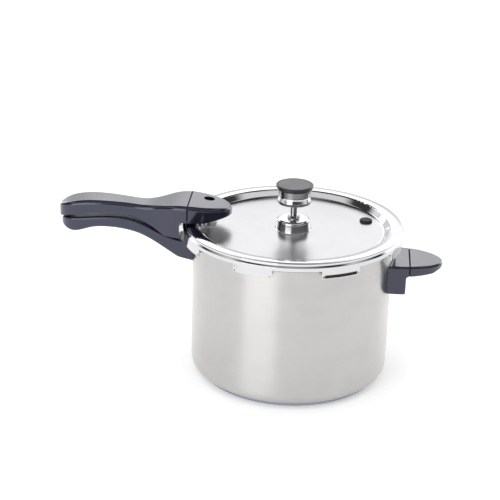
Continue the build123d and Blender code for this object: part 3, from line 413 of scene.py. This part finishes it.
def moulded(light, dark, gloss, dull, orange_peel, peel_depth, seam=None):
    """Moulded resin or rubber: mottled colour, orange peel and handling marks.

    seam is the place along X of a line across the piece that has no gloss.
    """

    def build(graph):
        place = graph.node("ShaderNodeTexCoord", {}, {}, "Object")
        drawn = graph.node("ShaderNodeMapping", {}, {"Vector": place, "Scale": (0.4, 1.0, 1.0)})
        flow = graph.noise(drawn, FLOW_SCALE, detail=5.0, roughness=0.6)
        grains = graph.noise(place, GRAIN_SCALE, detail=2.0)
        peel = graph.noise(place, 1.0 / orange_peel, detail=2.0)
        handled = graph.noise(place, RUBBED_SCALE, detail=5.0, roughness=0.66)
        rubbed = graph.ramp(handled, (0.40, 0.0), (0.68, 1.0))
        mottle = flow * 0.6 + grains * 0.4
        finish = {
            "Base Color": graph.blend(mottle, tint(*dark), tint(*light)),
            "Roughness": rubbed * (dull - gloss) + grains * GRAIN_DULL + gloss,
            "Normal": bumped(graph, peel + grains * GRAIN_HEIGHT, peel_depth),
        }
        if seam is not None:
            apart = (graph.parts(place)[0] - seam).maths("ABSOLUTE")
            line = graph.ramp(apart / SEAM_HALF_WIDTH, (0.6, 0.0), (1.0, 1.0))
            finish["Coat Weight"] = line * HANDLE_COAT
            finish["Roughness"] = (1.0 - line) * SEAM_DULL + finish["Roughness"]
        return finish

    return build


PHENOLIC_LIGHT = (0.015, 0.015, 0.030)
PHENOLIC_DARK = (0.008, 0.008, 0.018)
PHENOLIC_SHEEN = (0.60, 0.64, 1.0)
HELPER_SEAM = 0.128            # groove across the helper, from the vessel's axis


def phenolic(name, seam=None):
    """Black handle resin, with a dull dark line where a groove runs across a handle."""
    coat = {"Coat_Weight": HANDLE_COAT} if seam is None else {}
    return finished(
        name,
        moulded(
            PHENOLIC_LIGHT, PHENOLIC_DARK,
            gloss=0.15, dull=0.26, orange_peel=0.0030, peel_depth=0.000012, seam=seam,
        ),
        Specular_IOR_Level=0.5,
        Specular_Tint=tint(*PHENOLIC_SHEEN),
        Coat_Roughness=0.10,
        **coat,
    )


dress(phenolic("handle_phenolic"), "body_handle")
dress(phenolic("helper_phenolic", HELPER_SEAM), "helper_handle")

SCREW_LIGHT = (0.64, 0.65, 0.63)
SCREW_DARK = (0.46, 0.47, 0.46)
screw_zinc = finished(
    "screw_zinc",
    rolled(SCREW_LIGHT, SCREW_DARK, polish=0.24, dull=0.42, grain=0.0008),
    Metallic=1.0,
)
dress(screw_zinc, "body_handle_screw", "helper_screw", "cover_handle_screws")

# ---- cooking rack ---------------------------------------------------------------------------
# A perforated aluminium tray with a turned-down edge lies loose in the vessel, on three feet
# of bent stainless wire.
RACK_LIGHT = (0.74, 0.75, 0.76)
RACK_DARK = (0.58, 0.59, 0.61)
rack_aluminium = finished(
    "rack_aluminium",
    spun(RACK_LIGHT, RACK_DARK, polish=0.30, dull=0.48, pitch=0.0015, depth=0.00003),
    Metallic=1.0,
)
dress(rack_aluminium, "cooking_rack")
dress(bracket_steel, "rack_feet")

# ---- sealing ring and safety plug -----------------------------------------------------------
# Both are black rubber.  The ring lies in the cover's channel and the plug is pushed through
# the panel, where it would blow out if the vent were blocked.
RUBBER_LIGHT = (0.030, 0.030, 0.032)
RUBBER_DARK = (0.012, 0.012, 0.013)
rubber = finished(
    "rubber",
    moulded(RUBBER_LIGHT, RUBBER_DARK, gloss=0.45, dull=0.62, orange_peel=0.0010, peel_depth=0.00002),
    Specular_IOR_Level=0.4,
)
dress(rubber, "sealing_ring", "overpressure_plug")

# ---- cover ----------------------------------------------------------------------------------
# One heavy stamping, mirror-polished on top: centre boss, flat panel, sloping step, crown, and
# a skirt whose eight lugs slide under those of the rim.  A black sheet behind the slot in one lug
# is painted shade for the dark gap seen there, and a small eyelet closes the end of another.
COVER_LIGHT = (0.67, 0.67, 0.68)
COVER_DARK = (0.59, 0.59, 0.60)
PANEL_BAND = (0.0200, 0.0972, 0.22)    # inner radius, outer radius, added roughness
cover_steel = finished(
    "cover_steel",
    spun(
        COVER_LIGHT, COVER_DARK,
        polish=0.05, dull=0.11, pitch=0.0011, depth=0.000003, satin=PANEL_BAND,
    ),
    Metallic=1.0,
)
dress(cover_steel, "cover")

# A thin black rubber-coloured sheet just within the skirt behind the slotted lug: painted shade,
# standing in for the dark gap seen through the slot.
SLOT_SHADE_INSIDE = 0.11825         # just within the skirt
SLOT_SHADE_OUTSIDE = 0.11855
SLOT_SHADE_BOTTOM = 0.15625
SLOT_SHADE_TOP = 0.15995
SLOT_SHADE_ANGLE = radians(-62.5)
SLOT_SHADE_HALF_ANGLE = radians(9.25)
SLOT_SHADE_STEPS = 40
EYELET_ANGLE = radians(-116.4)
EYELET_LEVEL = 0.1615
EYELET_SECTION = (             # distance from its middle, height over the skirt
    (0.0009, -0.0002), (0.0009, 0.00030), (0.0012, 0.00050), (0.0017, 0.00055),
    (0.0021, 0.00040), (0.0023, 0.0), (0.0023, -0.0002),
)
EYELET_STEPS = 48


def swept(name, body, material, profiles, closed):
    """A closed section carried through a row of places, as one mesh."""
    count = len(profiles[0])
    rows = len(profiles)
    corners = [corner for profile in profiles for corner in profile]
    faces = []
    for row in range(rows if closed else rows - 1):
        start, after = row * count, (row + 1) % rows * count
        for step in range(count):
            beside = (step + 1) % count
            faces.append((start + step, start + beside, after + beside, after + step))
    if not closed:
        faces.append(tuple(reversed(range(count))))
        faces.append(tuple(range((rows - 1) * count, rows * count)))
    mesh = bpy.data.meshes.new(name)
    mesh.from_pydata(corners, [], faces)
    mesh.materials.append(material)
    mesh.polygons.foreach_set("use_smooth", [closed] * len(mesh.polygons))
    made = bpy.data.objects.new(name, mesh)
    bpy.context.scene.collection.objects.link(made)
    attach(made, body)


def around(radius, angle, level):
    return (radius * cos(angle), radius * sin(angle), level)


slot_shade_profiles = []
for step in range(SLOT_SHADE_STEPS + 1):
    angle = SLOT_SHADE_ANGLE + SLOT_SHADE_HALF_ANGLE * (2.0 * step / SLOT_SHADE_STEPS - 1.0)
    slot_shade_profiles.append(
        [
            around(SLOT_SHADE_INSIDE, angle, SLOT_SHADE_BOTTOM),
            around(SLOT_SHADE_OUTSIDE, angle, SLOT_SHADE_BOTTOM),
            around(SLOT_SHADE_OUTSIDE, angle, SLOT_SHADE_TOP),
            around(SLOT_SHADE_INSIDE, angle, SLOT_SHADE_TOP),
        ]
    )
swept("slot_shade_sheet", "cover", rubber, slot_shade_profiles, closed=False)

skirt_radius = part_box("cover")[1].x
eyelet_profiles = []
for step in range(EYELET_STEPS):
    turn = 2.0 * pi * step / EYELET_STEPS
    eyelet_profiles.append(
        [
            around(
                skirt_radius + rise,
                EYELET_ANGLE + radius * cos(turn) / skirt_radius,
                EYELET_LEVEL + radius * sin(turn),
            )
            for radius, rise in EYELET_SECTION
        ]
    )
swept("skirt_eyelet", "cover", cover_steel, eyelet_profiles, closed=True)

# ---- vent pipe ------------------------------------------------------------------------------
# Turned from bar: a threaded shank through the boss, a hexagon and a tapered tip with a fine
# bore.  A washer and a nut hold it.
TURNED_LIGHT = (0.68, 0.68, 0.69)
TURNED_DARK = (0.52, 0.52, 0.53)
turned_steel = finished(
    "turned_steel",
    spun(TURNED_LIGHT, TURNED_DARK, polish=0.12, dull=0.26, pitch=0.0004, depth=0.000010),
    Metallic=1.0,
)
dress(turned_steel, "vent_pipe", "vent_pipe_nut")
dress(bracket_steel, "vent_pipe_washer")

# ---- regulator ------------------------------------------------------------------------------
# A turned steel weight with a hollow waist, a moulded black cap and a satin disc let into it.
# It rocks loose on the vent pipe and is lifted straight off.
WEIGHT_LIGHT = (0.72, 0.72, 0.73)
WEIGHT_DARK = (0.60, 0.60, 0.61)
REGULATOR_CAP_LIGHT = (0.018, 0.018, 0.022)
REGULATOR_CAP_DARK = (0.009, 0.009, 0.011)
DISC_LIGHT = (0.21, 0.21, 0.22)
DISC_DARK = (0.15, 0.15, 0.16)
weight_steel = finished(
    "weight_steel",
    spun(WEIGHT_LIGHT, WEIGHT_DARK, polish=0.07, dull=0.16, pitch=0.0005, depth=0.000006),
    Metallic=1.0,
)
cap_phenolic = finished(
    "cap_phenolic",
    moulded(
        REGULATOR_CAP_LIGHT, REGULATOR_CAP_DARK,
        gloss=0.22, dull=0.34, orange_peel=0.0020, peel_depth=0.00001,
    ),
    Specular_IOR_Level=0.6,
)
disc_satin = finished(
    "disc_satin",
    spun(DISC_LIGHT, DISC_DARK, polish=0.34, dull=0.5, pitch=0.0006, depth=0.00001),
    Metallic=0.6,
)
dress(weight_steel, "regulator_weight")
dress(cap_phenolic, "regulator_cap")
dress(disc_satin, "regulator_disc")

# ---- cover lock -----------------------------------------------------------------------------
# Steam lifts a steel pin in a silicone bush.  Its cup then locks the cover in the bracket's
# keyhole, and its head rises in the handle's round window.
pin_low, pin_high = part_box("lock_pin")
pin_axis = ((pin_low.x + pin_high.x) / 2, (pin_low.y + pin_high.y) / 2)
pin_steel = finished(
    "pin_steel",
    spun(
        TURNED_LIGHT, TURNED_DARK,
        polish=0.14, dull=0.28, pitch=0.0004, depth=0.000010, axis=pin_axis,
    ),
    Metallic=1.0,
)
BUSH_LIGHT = (0.52, 0.52, 0.50)
BUSH_DARK = (0.40, 0.40, 0.39)
bush_silicone = finished(
    "bush_silicone",
    moulded(BUSH_LIGHT, BUSH_DARK, gloss=0.40, dull=0.55, orange_peel=0.0008, peel_depth=0.00001),
    Specular_IOR_Level=0.45,
)
dress(pin_steel, "lock_pin", "lock_pin_cup")
dress(bush_silicone, "lock_bush")

# ---- cover handle ---------------------------------------------------------------------------
# The upper half of the long handle is the same phenolic.  Its wide head lies over the crown on
# a steel strap, and two screws hold the strap's end in the leg.
HEAD_SEAM_INSET = 0.007        # groove across the head, inside the skirt
head_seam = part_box("cover")[0].x + HEAD_SEAM_INSET
dress(phenolic("cover_phenolic", head_seam), "cover_handle")
dress(bracket_steel, "cover_bracket")

# ---- studio ---------------------------------------------------------------------------------
# A white table with a bright wall behind it, a soft box to the front left, bands of light low
# and high in front, and a small skylight.  The rest of the room is dark, and the polished steel
# draws thin black lines from it.
FLOOR_HALF = 6.0
FLOOR_COLOUR = (0.93, 0.93, 0.935)
FLOOR_GLOW = 0.27
floor_mesh = bpy.data.meshes.new("floor")
floor_mesh.from_pydata(
    [(x * FLOOR_HALF, y * FLOOR_HALF, 0.0) for x, y in ((-1, -1), (1, -1), (1, 1), (-1, 1))],
    [],
    [(0, 1, 2, 3)],
)
floor = bpy.data.objects.new("floor", floor_mesh)
bpy.context.scene.collection.objects.link(floor)
floor_mesh.materials.append(
    finished(
        "floor_paper",
        lambda graph: {"Base Color": tint(*FLOOR_COLOUR), "Roughness": 0.9},
        Emission_Color=tint(1.0, 1.0, 1.0),
        Emission_Strength=FLOOR_GLOW,
    )
)

WALL_GLOW = 2.1
ROOM_DIM = 0.05
FRONT_GLOW = 0.9
SKYLIGHT_GLOW = 0.45
world = bpy.data.worlds.new("studio")
world.use_nodes = True
bpy.context.scene.world = world
room = Graph(world.node_tree)
heading = room.node("ShaderNodeTexCoord", {}, {}, "Generated")
east, north, up = room.parts(heading)
back_wall = room.ramp(north, (0.30, 0.0), (0.55, 1.0))
wall_band = room.ramp(
    up, (0.0, 0.45), (0.20, 0.35), (0.30, 0.45), (0.38, 0.86), (0.44, 1.0), (0.53, 0.9), (0.60, 0.0)
)
front = room.ramp(north, (0.05, 1.0), (0.35, 0.0))
table_band = room.ramp(up, (0.10, 1.0), (0.17, 0.0))
high_band = room.ramp(up, (0.60, 0.0), (0.66, 1.0), (0.82, 1.0), (0.88, 0.0))
front_bands = front * (table_band + high_band) * FRONT_GLOW
skylight = room.ramp(up, (0.93, 0.0), (0.98, 1.0)) * SKYLIGHT_GLOW
lit = back_wall * wall_band * WALL_GLOW + front_bands + skylight + ROOM_DIM
direct = room.node("ShaderNodeLightPath", {}, {}, "Is Camera Ray")
brightness = lit.maths("MAXIMUM", direct)
sky = room.node("ShaderNodeBackground", {}, {"Color": brightness, "Strength": 1.0})
room.node("ShaderNodeOutputWorld", {}, {"Surface": sky})


MIDDLE = (0.0, 0.0, 0.12)
FILL_ENERGY = 1.55
FILL_ANGLE = radians(80.0)


def soft_box(name, place, size, power):
    """A rectangular studio light that points at the object and that the camera can't see."""
    lamp = bpy.data.lights.new(name, "AREA")
    lamp.shape = "RECTANGLE"
    lamp.size, lamp.size_y = size
    lamp.energy = power
    light = bpy.data.objects.new(name, lamp)
    light.location = place
    light.rotation_euler = (Vector(MIDDLE) - Vector(place)).to_track_quat("-Z", "Y").to_euler()
    light.visible_camera = False
    bpy.context.scene.collection.objects.link(light)


soft_box("front_left", place=(-0.82, -1.40, 0.55), size=(1.1, 1.1), power=9.5)
soft_box("left_back", place=(-1.05, 1.20, 0.35), size=(0.3, 1.0), power=2.4)
soft_box("right_back", place=(1.05, 1.20, 0.35), size=(0.8, 1.0), power=3.6)
fill = bpy.data.lights.new("fill", "SUN")
fill.energy = FILL_ENERGY
fill.angle = FILL_ANGLE
fill_light = bpy.data.objects.new("fill", fill)
fill_light.visible_glossy = False
bpy.context.scene.collection.objects.link(fill_light)

CAMERA_PLACE = (0.0549, -1.4473, 0.7308)
CAMERA_AIM = (-0.0646, 0.9232, -0.3788)
CAMERA_ROLL = 1.59
CAMERA_LENS = 102.9
camera_data = bpy.data.cameras.new("camera")
camera_data.lens = CAMERA_LENS
camera = bpy.data.objects.new("camera", camera_data)
bpy.context.scene.collection.objects.link(camera)
camera.location = CAMERA_PLACE
turned = Vector(CAMERA_AIM).to_track_quat("-Z", "Y") @ Quaternion((0, 0, 1), radians(CAMERA_ROLL))
camera.rotation_euler = turned.to_euler()
bpy.context.scene.camera = camera
bpy.context.scene.view_settings.view_transform = "Standard"
